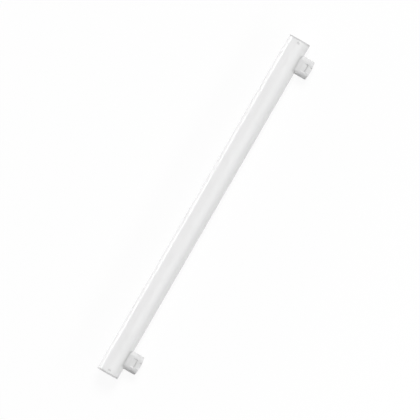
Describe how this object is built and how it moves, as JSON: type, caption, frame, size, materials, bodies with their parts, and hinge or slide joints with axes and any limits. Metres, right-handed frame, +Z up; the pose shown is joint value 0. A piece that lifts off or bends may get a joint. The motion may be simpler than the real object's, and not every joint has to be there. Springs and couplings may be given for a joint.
{
  "type": "tubular light bulb",
  "caption": "Linear opal tube lamp with press-in end caps and a plug-in side cap with a contact near each end, lying at rest.",
  "frame": {"origin": "on the table, in the middle of the lamp's outline seen from above", "axes": "+X along the tube, +Z up; the side caps point to -Y and slope down to the table by 13.1 degrees"},
  "size_m": [0.5, 0.0483, 0.03],
  "materials": {
    "opal_tube": "satin opal white",
    "white_moulding": "moulded white, soft gloss",
    "contact_metal": "nickel plated, pressed"
  },
  "bodies": {
    "root": {"opal_tube": "opal_tube", "end_cap_left": "white_moulding", "end_cap_right": "white_moulding", "side_cap_left": "white_moulding", "side_cap_right": "white_moulding", "contact_left": "contact_metal", "contact_right": "contact_metal"}
  },
  "joints": []
}
